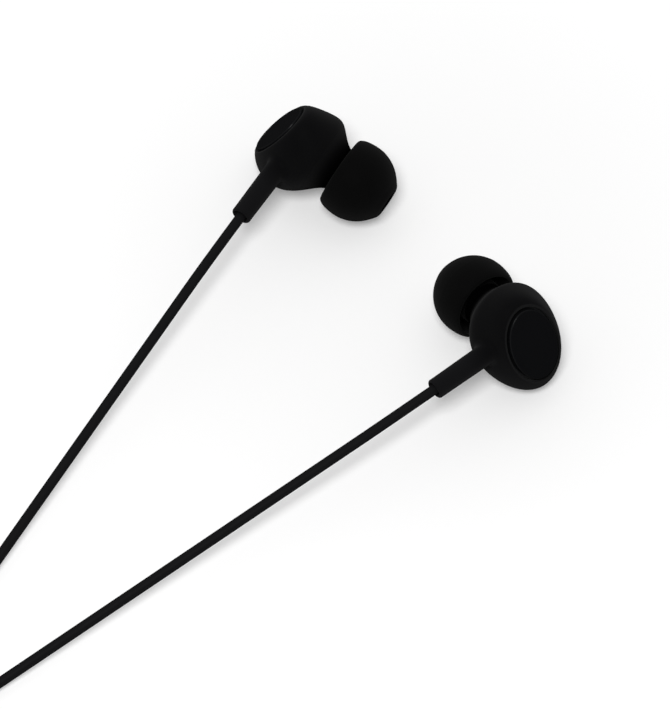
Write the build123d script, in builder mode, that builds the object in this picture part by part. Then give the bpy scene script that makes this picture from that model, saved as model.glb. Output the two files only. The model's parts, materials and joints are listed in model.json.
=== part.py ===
"""Wired in-ear earphones, lying on a flat surface. Millimetres, +Z up.

The origin is on the surface, under the middle of the two earbuds. Each earbud is modelled in a
frame of its own: origin in the middle of the rim round the cap, Z out of the cap, -Y down the
stem and X along the oval housing. The right earbud is the left one mirrored across X.
"""

import os
from math import cos, pi, radians, sin, tan

from build123d import *

# ---- Housing: an egg on oval sections, each (half length along X, half width along Y) ----
rim = (6.72, 4.75)
rim_lip = 0.28
rim_outer_round = 0.12
rim_inner_round = 0.08
shoulder = (8.11, 5.6)
shoulder_depth = 1.2
waist = (8.59, 6.87)
waist_depth = 4.0
nose_radius = 4.4
nose_reach = 9.98
neck_radius = 3.5
neck_start = 11.7
neck_end = 12.4
seam_reach = 8.14
housing_wall = 0.9
lap_length = 0.9
lap_clearance = 0.04

# ---- Cap: an oval disc pressed into a step behind the rim ----
cap_groove = 0.36
cap_groove_depth = 0.6
cap_height = 0.4
cap_foot = 0.6
cap_clearance = 0.04
cap_edge_radius = 0.3
ledge_thickness = 0.5
ledge_width = 0.8

# ---- Stem and what holds the cable in it ----
stem_x = 1.49
stem_z = -3.08
stem_reach = 16.9
stem_wall = 0.34
stem_taper = 0.12
stem_blend = 1.1
stem_end_round = 0.35
mouth_depth = 0.7
grommet_wall = 0.48
grommet_length = 4.5
grommet_clearance = 0.02
crimp_wall = 0.3
crimp_outer_end = 4.5
crimp_inner_end = 3.3
crimp_edge_radius = 0.2
wire_radius = 0.2
wire_gap = 0.75
wire_start = 0.7
wire_drop = 0.9
wire_bend = 0.3

# ---- Nozzle, tilted from the housing's axis towards +X ----
nozzle_tilt = 18.85
nozzle_radius = 2.6
bead_radius = 2.8
bead_length = 0.9
bead_chamfer = 0.3
nozzle_root = 1.0
nozzle_end = 17.0
sound_bore = 1.85
mesh_radius = 2.15
mesh_seat_depth = 0.35
mesh_thickness = 0.2
mesh_clearance = 0.02

# ---- Ear tip: silicone dome on a sleeve that grips the nozzle ----
tip_start = 11.45
tip_length = 9.08
tip_rim_radius = 5.65
tip_radius = 6.31
tip_widest = 2.5
tip_shoulder = (5.45, 5.86)
tip_crown = (8.22, 3.79)
tip_front_radius = 2.4
tip_skin = 0.55
tip_inner_shoulder = 4.7
tip_web = 6.7
tip_sleeve_start = 1.25
tip_sleeve_wall = 0.85
tip_bead_clearance = 0.06
tip_stop_gap = 0.3

# ---- Dynamic driver, stacked along the nozzle's axis ----
driver_radius = 4.6
driver_clearance = 0.04
driver_seat = 8.9
grille_thickness = 0.3
grille_hole_radius = 0.4
grille_border = 2.2
grille_holes = 6
frame_length = 2.4
frame_floor = 0.6
frame_wall = 0.3
vent_radius = 0.25
vents = 6
basket_width = 1.2
yoke_wall = 0.45
yoke_length = 2.2
yoke_base = 0.6
yoke_proud = 0.1
yoke_edge_radius = 0.25
magnet_inset = 0.05
magnet_height = 1.0
magnetic_gap = 0.55
pole_height = 0.5
coil_gap = 0.15
coil_wall = 0.25
coil_length = 1.2
diaphragm_skin = 0.12
diaphragm_gap = 0.15
dome_rise = 0.5
roll_rise = 0.3
diaphragm_lift = 0.6
board_inset = 0.9
board_thickness = 0.5

# ---- Cable, splitter and plug ----
cable_radius = 0.8
trunk_radius = 1.0
bore_clearance = 0.05
bend_share = 0.45
first_turn_from_stem = 6.0
splitter_length = 20.0
splitter_wide_end = 7.2
splitter_narrow_end = 5.0
splitter_edge = 1.2
splitter_bore = 4.0
splitter_wall = 1.0
splitter_y = -57.0
branch_gap = 0.3
boot_length = 9.0
boot_start_radius = 1.6
boot_end_radius = 2.7
boot_groove = 0.35
boot_grooves = 4
groove_cutter = 1.0
handle_radius = 3.75
handle_length = 19.0
handle_wall = 0.8
handle_back_wall = 2.0
handle_edge = 0.6
grip_groove = 0.3
grip_grooves = 3
grip_pitch = 2.0
grip_from_front = 7.0
core_start = 5.0
socket_depth = 3.0
plug_radius = 1.75
sleeve_length = 6.6
insulator_length = 0.7
ring_length = 2.3
plug_tip_length = 3.7
plug_tip_shoulder = 1.6
plug_tip_neck = (1.15, 0.75)
plug_tip_ball = 1.7
plug_tip_ball_start = 1.6
plug_tip_ball_end = 1.9
plug_tip_nose = 0.6
plug_tip_nose_round = 0.3
tail_radius = 1.5
rod_radius = 0.5
contact_wall = 0.24
contact_clearance = 0.02

# ---- Where things lie on the surface ----
left_cap_at = (-18.01, 22.52)
left_stem_heading = -121.9
right_cap_at = (21.08, -17.29)
right_stem_heading = -141.0
cap_face_lift = 32.6
branch_coil_at = (-88.8, -69.6)
branch_coil_inner = 5.0
branch_coil_outer = 13.5
branch_coil_height = 3.3
trunk_coil_at = (-84.6, -21.0)
trunk_coil_inner = 6.5
trunk_coil_outer = 17.1
trunk_coil_height = 4.2
trunk_x = -100.6
plug_start_y = -3.0

# ---- Sizes that follow from the ones above ----
mouth_radius = cable_radius + grommet_wall
stem_end_radius = mouth_radius + stem_wall
stem_root_radius = stem_end_radius + stem_taper
crimp_radius = cable_radius + grommet_clearance + crimp_wall
branch_spacing = 2 * cable_radius + branch_gap
splitter_height = 6 * cable_radius
yoke_radius = driver_radius - basket_width
pole_radius = yoke_radius - yoke_wall - magnetic_gap
magnet_radius = pole_radius - magnet_inset
board_radius = yoke_radius - board_inset
grille_hole_circle = driver_radius - grille_border

# ---- Planes and axes of the earbud frame ----
tilt = radians(nozzle_tilt)
nozzle_direction = Vector(sin(tilt), 0, -cos(tilt))
nozzle_plane = Plane(origin=(0, 0, 0), x_dir=(cos(tilt), 0, sin(tilt)), z_dir=nozzle_direction)
nozzle_section = Plane(origin=(0, 0, 0), x_dir=(cos(tilt), 0, sin(tilt)), z_dir=(0, 1, 0))
nozzle_axis = Axis((0, 0, 0), nozzle_direction)
seam_plane = nozzle_plane.offset(seam_reach)
ledge_top = -(cap_groove_depth + cap_foot)
ledge_bottom = ledge_top - ledge_thickness
opening = (rim[0] - rim_lip, rim[1] - rim_lip)

# Stations of the driver stack, measured along the nozzle's axis
grille_back = driver_seat - grille_thickness
frame_back = grille_back - frame_length
frame_step = frame_back + frame_floor
yoke_front = frame_step + yoke_proud
yoke_back = yoke_front - yoke_length
magnet_front = yoke_back + yoke_base + magnet_height
diaphragm_back = frame_step + diaphragm_lift
coil_radius = pole_radius + coil_gap


def stem_plane(reach):
    """Plane across the stem, that far from the earbud's origin and facing back to the housing."""
    return Plane(origin=(stem_x, -reach, stem_z), x_dir=(1, 0, 0), z_dir=(0, 1, 0))


def egg(inset=0.0):
    """The housing's smooth outer form, or its hollow when it is inset by the wall."""
    neck = neck_radius - inset
    sections = [
        (Plane.XY, rim[0] - inset, rim[1] - inset),
        (Plane.XY.offset(-shoulder_depth), shoulder[0] - inset, shoulder[1] - inset),
        (Plane.XY.offset(-waist_depth), waist[0] - inset, waist[1] - inset),
        (nozzle_plane.offset(nose_reach), nose_radius - inset, nose_radius - inset),
        (nozzle_plane.offset(neck_start), neck, neck),
        (nozzle_plane.offset(neck_end), neck, neck),
    ]
    with BuildPart() as body:
        for plane, half_length, half_width in sections:
            with BuildSketch(plane):
                Ellipse(half_length, half_width)
        loft()
    return body.part


def hollow():
    """The room inside the housing, from the cap's ledge to the nose."""
    with BuildPart() as room:
        add(egg(housing_wall))
        split(bisect_by=Plane.XY.offset(ledge_bottom), keep=Keep.BOTTOM)
        split(bisect_by=nozzle_plane.offset(driver_seat), keep=Keep.BOTTOM)
    return room.part


def build_rear_shell():
    """Main shell with the cap's seat in front and the stem moulded on."""
    with BuildPart() as shell:
        add(egg())
        fillet(shell.edges().sort_by(Axis.Z)[-1], radius=rim_outer_round)
        with BuildSketch(stem_plane(stem_reach)):
            Circle(stem_end_radius)
        with BuildSketch(stem_plane(waist[1] / 2)):
            Circle(stem_root_radius)
        loft()
        root_edge = shell.edges(Select.LAST).sort_by(Axis.Y)[-1]
        fillet(root_edge, radius=stem_blend)
        end_edge = shell.faces().sort_by(Axis.Y)[0].edges()
        fillet(end_edge, radius=stem_end_round)
        split(bisect_by=seam_plane, keep=Keep.BOTTOM)
        add(hollow(), mode=Mode.SUBTRACT)
        with BuildSketch(Plane.XY):
            Ellipse(*opening)
        extrude(amount=ledge_top, mode=Mode.SUBTRACT)
        inner_edge = shell.faces().sort_by(Axis.Z)[-1].edges().sort_by(SortBy.LENGTH)[0]
        fillet(inner_edge, radius=rim_inner_round)
        with BuildSketch(Plane.XY):
            Ellipse(opening[0] - ledge_width, opening[1] - ledge_width)
        extrude(amount=ledge_bottom, mode=Mode.SUBTRACT)
        with BuildSketch(stem_plane(stem_reach)):
            Circle(mouth_radius)
        extrude(amount=mouth_depth + grommet_length, mode=Mode.SUBTRACT)
        with BuildSketch(stem_plane(stem_reach)):
            Circle(cable_radius + bore_clearance)
        extrude(amount=stem_reach - crimp_outer_end, mode=Mode.SUBTRACT)
    return shell.part


def build_front_shell():
    """Nose with the nozzle and its bead; it laps into the main shell and seats the driver."""
    with BuildPart() as lap:
        add(egg(housing_wall + lap_clearance))
        split(bisect_by=seam_plane.offset(-lap_length), keep=Keep.TOP)
        split(bisect_by=seam_plane, keep=Keep.BOTTOM)
    with BuildPart() as shell:
        add(egg())
        split(bisect_by=seam_plane, keep=Keep.TOP)
        add(lap.part)
        with BuildSketch(nozzle_section):
            with BuildLine():
                Polyline(
                    (0, neck_end - nozzle_root),
                    (nozzle_radius, neck_end - nozzle_root),
                    (nozzle_radius, nozzle_end - bead_length - bead_chamfer),
                    (bead_radius, nozzle_end - bead_length),
                    (bead_radius, nozzle_end - bead_chamfer),
                    (bead_radius - bead_chamfer, nozzle_end),
                    (0, nozzle_end),
                    close=True,
                )
            make_face()
        revolve(axis=nozzle_axis)
        with BuildSketch(nozzle_section):
            with BuildLine():
                Polyline(
                    (0, seam_reach - lap_length),
                    (driver_radius + driver_clearance, seam_reach - lap_length),
                    (driver_radius + driver_clearance, driver_seat),
                    (nose_radius - housing_wall, driver_seat),
                    (sound_bore, neck_start),
                    (sound_bore, nozzle_end - mesh_seat_depth),
                    (mesh_radius, nozzle_end - mesh_seat_depth),
                    (mesh_radius, nozzle_end),
                    (0, nozzle_end),
                    close=True,
                )
            make_face()
        revolve(axis=nozzle_axis, mode=Mode.SUBTRACT)
    return shell.part


def build_cap():
    """Oval cap: a proud disc inside the groove, on a foot that fills the step."""
    face = (opening[0] - cap_groove, opening[1] - cap_groove)
    with BuildPart() as cap:
        with BuildSketch(Plane.XY.offset(ledge_top)):
            Ellipse(opening[0] - cap_clearance, opening[1] - cap_clearance)
        extrude(amount=cap_foot)
        with BuildSketch(Plane.XY.offset(-cap_groove_depth)):
            Ellipse(*face)
        extrude(amount=cap_groove_depth + cap_height)
        fillet(cap.faces().sort_by(Axis.Z)[-1].edges(), radius=cap_edge_radius)
    return cap.part


def build_grommet():
    """Soft sleeve that fills the stem behind its mouth and guides the cable."""
    with BuildPart() as grommet:
        with BuildSketch(stem_plane(stem_reach - mouth_depth)):
            Circle(mouth_radius - grommet_clearance)
            Circle(cable_radius + bore_clearance, mode=Mode.SUBTRACT)
        extrude(amount=grommet_length)
    return grommet.part


def build_crimp():
    """Metal band on the cable inside the housing, so that a pull never reaches the wires."""
    with BuildPart() as crimp:
        with BuildSketch(stem_plane(crimp_outer_end)):
            Circle(crimp_radius)
            Circle(cable_radius + grommet_clearance, mode=Mode.SUBTRACT)
        extrude(amount=crimp_outer_end - crimp_inner_end)
        outer_edges = crimp.edges().filter_by(GeomType.CIRCLE).sort_by(SortBy.RADIUS)[-2:]
        fillet(outer_edges, radius=crimp_edge_radius)
    return crimp.part


def build_mesh():
    """Round screen glued into the nozzle's end."""
    with BuildPart() as mesh:
        with BuildSketch(Plane.XY.offset(nozzle_end - mesh_seat_depth)):
            Circle(mesh_radius - mesh_clearance)
        extrude(amount=mesh_thickness)
    return mesh.part


def build_ear_tip():
    """Thin dome with a flat front, turned about the sleeve that grips the nozzle."""
    bore = bead_radius + tip_bead_clearance
    sleeve = bore + tip_sleeve_wall
    stop = nozzle_end + tip_stop_gap - tip_start
    with BuildPart() as tip:
        with BuildSketch(Plane.XZ.shift_origin((0, 0, tip_start))):
            with BuildLine():
                Spline(
                    (tip_rim_radius, 0),
                    (tip_radius, tip_widest),
                    (tip_shoulder[1], tip_shoulder[0]),
                    (tip_crown[1], tip_crown[0]),
                    (tip_front_radius, tip_length),
                    tangents=[(0.62, 0.78), (-1.0, 0.12)],
                )
                Line((tip_front_radius, tip_length), (sound_bore, tip_length))
                Line((sound_bore, tip_length), (sound_bore, stop))
                Line((sound_bore, stop), (bore, stop))
                Line((bore, stop), (bore, tip_sleeve_start))
                Line((bore, tip_sleeve_start), (sleeve, tip_sleeve_start))
                Line((sleeve, tip_sleeve_start), (sleeve, tip_web))
                Spline(
                    (sleeve, tip_web),
                    (tip_shoulder[1] - tip_skin, tip_inner_shoulder),
                    (tip_radius - tip_skin, tip_widest),
                    (tip_rim_radius - tip_skin, 0),
                    tangents=[(1.0, 0.1), (-0.45, -0.9)],
                )
                Line((tip_rim_radius - tip_skin, 0), (tip_rim_radius, 0))
            make_face()
        revolve(axis=Axis.Z)
    return tip.part


def build_grille():
    """Pressed front cover of the driver: a dished disc with a hole and a ring of holes."""
    with BuildPart() as grille:
        with BuildSketch(Plane.XY.offset(grille_back)):
            Circle(driver_radius)
            Circle(grille_hole_radius, mode=Mode.SUBTRACT)
            with PolarLocations(grille_hole_circle, grille_holes):
                Circle(grille_hole_radius, mode=Mode.SUBTRACT)
        extrude(amount=grille_thickness)
    return grille.part


def build_frame():
    """Driver basket: a ring wall with a floor round the yoke and vents through the floor."""
    with BuildPart() as basket:
        with BuildSketch(Plane.XY.offset(frame_back)):
            Circle(driver_radius)
            Circle(yoke_radius + contact_clearance, mode=Mode.SUBTRACT)
            with PolarLocations((driver_radius - frame_wall + yoke_radius) / 2, vents):
                Circle(vent_radius, mode=Mode.SUBTRACT)
        extrude(amount=frame_floor)
        with BuildSketch(Plane.XY.offset(frame_step)):
            Circle(driver_radius)
            Circle(driver_radius - frame_wall, mode=Mode.SUBTRACT)
        extrude(amount=grille_back - frame_step)
    return basket.part


def build_yoke():
    """Steel cup that carries the magnet and closes the magnetic circuit."""
    with BuildPart() as yoke:
        with BuildSketch(Plane.XY.offset(yoke_back)):
            Circle(yoke_radius)
        extrude(amount=yoke_length)
        with BuildSketch(Plane.XY.offset(yoke_back + yoke_base)):
            Circle(yoke_radius - yoke_wall)
        extrude(amount=yoke_length - yoke_base, mode=Mode.SUBTRACT)
        rear_face = yoke.faces().sort_by(Axis.Z)[0]
        fillet(rear_face.edges(), radius=yoke_edge_radius)
    return yoke.part


def build_disc(start, radius, height):
    """Plain round disc on the nozzle's axis."""
    with BuildPart() as disc:
        with BuildSketch(Plane.XY.offset(start)):
            Circle(radius)
        extrude(amount=height)
    return disc.part


def build_voice_coil():
    """Wound tube that hangs from the diaphragm into the gap round the pole plate."""
    with BuildPart() as coil:
        with BuildSketch(Plane.XY.offset(diaphragm_back - coil_length)):
            Circle(coil_radius + coil_wall)
            Circle(coil_radius, mode=Mode.SUBTRACT)
        extrude(amount=coil_length)
    return coil.part


def build_diaphragm():
    """Thin film: a dome in the middle, a half roll round it and a flat edge."""
    edge = driver_radius - frame_wall - diaphragm_gap
    dome = coil_radius + coil_wall
    dome_round = (dome**2 + dome_rise**2) / (2 * dome_rise)
    roll_middle = (dome + edge) / 2
    with BuildPart() as film:
        with BuildSketch(Plane.XZ.shift_origin((0, 0, diaphragm_back))):
            with BuildLine():
                Line((0, dome_rise), (0, dome_rise + diaphragm_skin))
                RadiusArc((0, dome_rise + diaphragm_skin), (dome, diaphragm_skin), dome_round)
                ThreePointArc(
                    (dome, diaphragm_skin),
                    (roll_middle, roll_rise + diaphragm_skin),
                    (edge, diaphragm_skin),
                )
                Line((edge, diaphragm_skin), (edge, 0))
                ThreePointArc((edge, 0), (roll_middle, roll_rise), (dome, 0))
                RadiusArc((0, dome_rise), (dome, 0), dome_round)
            make_face()
        revolve(axis=Axis.Z)
    return film.part


def build_lead_wires():
    """Two insulated wires from the cable's end to the terminal board."""
    start = Vector(stem_x, -crimp_inner_end, stem_z)
    board_back = yoke_back - board_thickness
    with BuildPart() as wires:
        for side in (-1, 1):
            leave = start + Vector(side * wire_gap / 2, 0, 0)
            pad = nozzle_plane.from_local_coords((side * wire_gap, board_radius / 2, board_back))
            above = pad - nozzle_direction * wire_drop
            turn = leave + Vector(0, wire_start, 0)
            with BuildLine() as route:
                FilletPolyline(leave, turn, above, pad, radius=wire_bend)
            with BuildSketch(Plane(origin=leave, z_dir=(0, 1, 0))):
                Circle(wire_radius)
            sweep(path=route.line)
    return wires.part


def earbud_pieces():
    """Every piece of one earbud, by name, in the earbud's own frame."""
    board_back = yoke_back - board_thickness
    pieces = {
        "rear_shell": build_rear_shell(),
        "front_shell": build_front_shell(),
        "cap": build_cap(),
        "cable_grommet": build_grommet(),
        "cable_crimp": build_crimp(),
        "lead_wires": build_lead_wires(),
    }
    on_nozzle = {
        "ear_tip": build_ear_tip(),
        "nozzle_mesh": build_mesh(),
        "driver_grille": build_grille(),
        "driver_frame": build_frame(),
        "driver_yoke": build_yoke(),
        "driver_magnet": build_disc(yoke_back + yoke_base, magnet_radius, magnet_height),
        "driver_pole_plate": build_disc(magnet_front, pole_radius, pole_height),
        "voice_coil": build_voice_coil(),
        "diaphragm": build_diaphragm(),
        "terminal_board": build_disc(board_back, board_radius, board_thickness),
    }
    for name, piece in on_nozzle.items():
        pieces[name] = nozzle_plane.location * piece
    return pieces


def save(piece, name):
    """Label a finished piece and write it as its own file."""
    piece.label = name
    export_step(piece, f"parts/{name}.step")


def earbud_plane(cap_at, height, stem_heading, hand):
    """Where an earbud lies: stem level, cap face raised. Hand is 1 for left, -1 for right."""
    outward = radians(stem_heading - 90 * hand)
    lift = radians(cap_face_lift)
    normal = (cos(lift) * cos(outward), cos(lift) * sin(outward), sin(lift))
    upward = (-sin(lift) * cos(outward), -sin(lift) * sin(outward), cos(lift))
    x_dir = tuple(hand * value for value in upward)
    return Plane(origin=(*cap_at, height), x_dir=x_dir, z_dir=normal)


def tube(points, radius, name):
    """A cable along straight runs joined by arcs as large as the runs allow."""
    corners = [Vector(*point) for point in points]
    radii = []
    for before, corner, after in zip(corners, corners[1:], corners[2:]):
        run = min((corner - before).length, (after - corner).length)
        turn = radians((corner - before).get_angle(after - corner))
        radii.append(bend_share * run / tan(turn / 2))
    with BuildPart() as cable:
        with BuildLine() as route:
            if radii:
                FilletPolyline(*corners, radius=radii)
            else:
                Line(*corners)
        with BuildSketch(Plane(origin=corners[0], z_dir=corners[1] - corners[0])):
            Circle(radius)
        sweep(path=route.line)
    length = sum(edge.length for edge in route.edges())
    share = cable.part.volume / (pi * radius**2 * length)
    bends = [round(bend, 1) for bend in radii]
    print(name, "length", round(length, 1), "radii", bends, "volume share", round(share, 4))
    save(cable.part, name)


def build_coil_ring(centre, inner, outer, height):
    """Outer shape of a coil of cable lying flat."""
    with BuildPart() as ring:
        with BuildSketch(Plane.XY):
            with Locations(centre):
                Circle(outer)
                Circle(inner, mode=Mode.SUBTRACT)
        extrude(amount=height)
        fillet(ring.edges().filter_by(GeomType.CIRCLE), radius=height / 4)
    return ring.part


def build_splitter():
    """Both halves of the Y-splitter, bored for two branches and the trunk."""
    middle = splitter_height / 2
    start = Plane(origin=(trunk_x, splitter_y, middle), x_dir=(1, 0, 0), z_dir=(0, 1, 0))
    end = start.offset(splitter_length)
    with BuildPart() as body:
        with BuildSketch(Plane.XY):
            with BuildLine():
                Polyline(
                    (trunk_x - splitter_wide_end / 2, splitter_y),
                    (trunk_x + splitter_wide_end / 2, splitter_y),
                    (trunk_x + splitter_narrow_end / 2, splitter_y + splitter_length),
                    (trunk_x - splitter_narrow_end / 2, splitter_y + splitter_length),
                    close=True,
                )
            make_face()
        extrude(amount=splitter_height)
        fillet(body.edges(), radius=splitter_edge)
        with BuildSketch(start):
            with GridLocations(branch_spacing, 0, 2, 1):
                Circle(cable_radius + bore_clearance)
        extrude(amount=splitter_bore, mode=Mode.SUBTRACT)
        with BuildSketch(end):
            Circle(trunk_radius + bore_clearance)
        extrude(amount=-splitter_bore, mode=Mode.SUBTRACT)
        with Locations((trunk_x, splitter_y + splitter_length / 2, middle)):
            inner_length = splitter_length - 2 * splitter_bore
            inner_width = splitter_narrow_end - 2 * splitter_wall
            Box(inner_width, inner_length, middle, mode=Mode.SUBTRACT)
    halves = {}
    for name, keep in (("splitter_top_shell", Keep.TOP), ("splitter_bottom_shell", Keep.BOTTOM)):
        with BuildPart() as half:
            add(body.part)
            split(bisect_by=Plane.XY.offset(middle), keep=keep)
        halves[name] = half.part
    return halves


def plug_plane(distance):
    """Plane across the plug, that far from the start of its boot and facing its tip."""
    origin = (trunk_x, plug_start_y + distance, handle_radius)
    return Plane(origin=origin, x_dir=(1, 0, 0), z_dir=(0, 1, 0))


def plug_section(distance):
    """Plane through the plug's axis: X is the radius and Y runs to the tip."""
    origin = (trunk_x, plug_start_y + distance, handle_radius)
    return Plane(origin=origin, x_dir=(1, 0, 0), z_dir=(0, 0, 1))


def build_boot():
    """Ribbed strain relief that tapers down to the cable."""
    with BuildPart() as boot:
        with BuildSketch(plug_plane(0)):
            Circle(boot_start_radius)
        with BuildSketch(plug_plane(boot_length)):
            Circle(boot_end_radius)
        loft()
        pitch = boot_length / (boot_grooves + 1)
        for index in range(1, boot_grooves + 1):
            at = index * pitch
            radius = boot_start_radius + (boot_end_radius - boot_start_radius) * at / boot_length
            with BuildSketch(plug_plane(at - boot_groove)):
                Circle(radius + groove_cutter)
                Circle(radius - boot_groove, mode=Mode.SUBTRACT)
            extrude(amount=2 * boot_groove, mode=Mode.SUBTRACT)
        with BuildSketch(plug_plane(0)):
            Circle(trunk_radius + bore_clearance)
        extrude(amount=boot_length, mode=Mode.SUBTRACT)
    return boot.part


def build_handle():
    """Round handle with grip grooves, hollow from the front."""
    with BuildPart() as handle:
        with BuildSketch(plug_plane(boot_length)):
            Circle(handle_radius)
        extrude(amount=handle_length)
        fillet(handle.edges(), radius=handle_edge)
        first_groove = boot_length + handle_length - grip_from_front
        for index in range(grip_grooves):
            with BuildSketch(plug_plane(first_groove + index * grip_pitch)):
                Circle(handle_radius + groove_cutter)
                Circle(handle_radius - grip_groove, mode=Mode.SUBTRACT)
            extrude(amount=2 * grip_groove, mode=Mode.SUBTRACT)
        with BuildSketch(plug_plane(boot_length + handle_back_wall)):
            Circle(handle_radius - handle_wall)
        extrude(amount=handle_length - handle_back_wall, mode=Mode.SUBTRACT)
        with BuildSketch(plug_plane(boot_length)):
            Circle(trunk_radius + bore_clearance)
        extrude(amount=handle_back_wall, mode=Mode.SUBTRACT)
    return handle.part


def build_plug_core():
    """Moulded block inside the handle that holds the contacts and the cable's end."""
    front = boot_length + handle_length
    with BuildPart() as core:
        with BuildSketch(plug_plane(boot_length + core_start)):
            Circle(handle_radius - handle_wall - contact_clearance)
        extrude(amount=handle_length - core_start)
        with BuildSketch(plug_plane(front - socket_depth)):
            Circle(tail_radius + contact_clearance)
        extrude(amount=socket_depth, mode=Mode.SUBTRACT)
    return core.part


def build_contacts():
    """Sleeve, ring and tip contacts, with the insulators between them, nested on one rod."""
    front = boot_length + handle_length
    depth = socket_depth - contact_clearance
    layers = [rod_radius]
    for _ in range(3):
        layers.append(layers[-1] + contact_clearance)
        layers.append(layers[-1] + contact_wall)
    ring_start = sleeve_length + insulator_length
    tip_start_at = ring_start + ring_length + insulator_length
    stack = [
        ("plug_sleeve", layers[6] + contact_clearance, 0.0, sleeve_length),
        ("plug_rear_insulator", layers[5], sleeve_length, insulator_length),
        ("plug_ring", layers[3], ring_start, ring_length),
        ("plug_front_insulator", layers[1], ring_start + ring_length, insulator_length),
    ]
    tails = {
        "plug_sleeve": tail_radius,
        "plug_rear_insulator": layers[6],
        "plug_ring": layers[4],
        "plug_front_insulator": layers[2],
    }
    pieces = {}
    for name, inner, start, length in stack:
        with BuildPart() as piece:
            with BuildSketch(plug_plane(front + start)):
                Circle(plug_radius)
                Circle(inner, mode=Mode.SUBTRACT)
            extrude(amount=length)
            with BuildSketch(plug_plane(front - depth)):
                Circle(tails[name])
                Circle(inner, mode=Mode.SUBTRACT)
            extrude(amount=depth + start)
        pieces[name] = piece.part
    with BuildPart() as tip:
        with BuildSketch(plug_section(front + tip_start_at)):
            with BuildLine():
                Polyline(
                    (0, -tip_start_at - depth),
                    (rod_radius, -tip_start_at - depth),
                    (rod_radius, 0),
                    (plug_tip_shoulder, 0),
                    plug_tip_neck,
                    (plug_tip_ball, plug_tip_ball_start),
                    (plug_tip_ball, plug_tip_ball_end),
                    (plug_tip_nose, plug_tip_length - plug_tip_nose_round / 2),
                    (plug_tip_nose_round, plug_tip_length),
                    (0, plug_tip_length),
                    close=True,
                )
            make_face()
        revolve(axis=Axis((trunk_x, 0, handle_radius), (0, 1, 0)))
    pieces["plug_tip"] = tip.part
    return pieces


def main():
    os.makedirs("parts", exist_ok=True)
    pieces = earbud_pieces()
    mouths = {}
    places = {
        "left": (left_cap_at, left_stem_heading, 1),
        "right": (right_cap_at, right_stem_heading, -1),
    }
    for side, (cap_at, heading, hand) in places.items():
        handed = {}
        for name, piece in pieces.items():
            handed[name] = piece if hand == 1 else mirror(piece, about=Plane.YZ)
        flat = earbud_plane(cap_at, 0, heading, hand)
        resting = [flat.location * handed[name] for name in ("rear_shell", "ear_tip")]
        height = -min(piece.bounding_box().min.Z for piece in resting)
        plane = earbud_plane(cap_at, height, heading, hand)
        for name, piece in handed.items():
            save(plane.location * piece, f"{side}_{name}")
        cable_start = plane.from_local_coords((hand * stem_x, -crimp_inner_end, stem_z))
        turn_reach = stem_reach + first_turn_from_stem
        first_turn = plane.from_local_coords((hand * stem_x, -turn_reach, stem_z))
        mouths[side] = [cable_start, first_turn]
        mouth = plane.from_local_coords((hand * stem_x, -stem_reach, stem_z))
        print(side, "cap height", round(height, 3), "stem mouth", mouth)

    floor = cable_radius
    upper = 3 * cable_radius
    left_route = [(-67.0, -61.4, floor), (-78.3, -76.5, floor)]
    right_route = [(-67.2, -77.5, floor), (-76.8, -83.3, floor), (-88.8, -82.2, floor)]
    tube(mouths["left"] + left_route, cable_radius, "left_cable_lead")
    tube(mouths["right"] + right_route, cable_radius, "right_cable_lead")
    bore_end = splitter_y + splitter_bore
    for name, x in (("left", trunk_x + branch_spacing / 2), ("right", trunk_x - branch_spacing / 2)):
        ends = [(x, branch_coil_at[1], upper), (x, bore_end, upper)]
        tube(ends, cable_radius, f"{name}_cable_tail")
    trunk_from = splitter_y + splitter_length - splitter_bore
    middle = splitter_height / 2
    trunk_start = [(trunk_x, trunk_from, middle), (trunk_x, -33, middle)]
    trunk_start += [(trunk_x, -26, trunk_radius), (trunk_x, trunk_coil_at[1], trunk_radius)]
    tube(trunk_start, trunk_radius, "trunk_cable_start")
    over = 3 * trunk_radius
    plug_cable_end = plug_start_y + boot_length + core_start
    trunk_end = [(trunk_x, trunk_coil_at[1], over), (trunk_x, -15, over)]
    trunk_end += [(trunk_x, -8, handle_radius), (trunk_x, plug_cable_end, handle_radius)]
    tube(trunk_end, trunk_radius, "trunk_cable_end")
    branch_size = (branch_coil_inner, branch_coil_outer, branch_coil_height)
    trunk_size = (trunk_coil_inner, trunk_coil_outer, trunk_coil_height)
    save(build_coil_ring(branch_coil_at, *branch_size), "branch_coil")
    save(build_coil_ring(trunk_coil_at, *trunk_size), "trunk_coil")
    for name, half in build_splitter().items():
        save(half, name)
    save(build_boot(), "plug_boot")
    save(build_handle(), "plug_handle")
    save(build_plug_core(), "plug_core")
    for name, contact in build_contacts().items():
        save(contact, name)


main()
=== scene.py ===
"""Looks of a pair of wired in-ear earphones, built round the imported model. Metres, +Z up."""

import json
from math import cos, exp, pi, radians, sin, tan
from typing import NamedTuple

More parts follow.
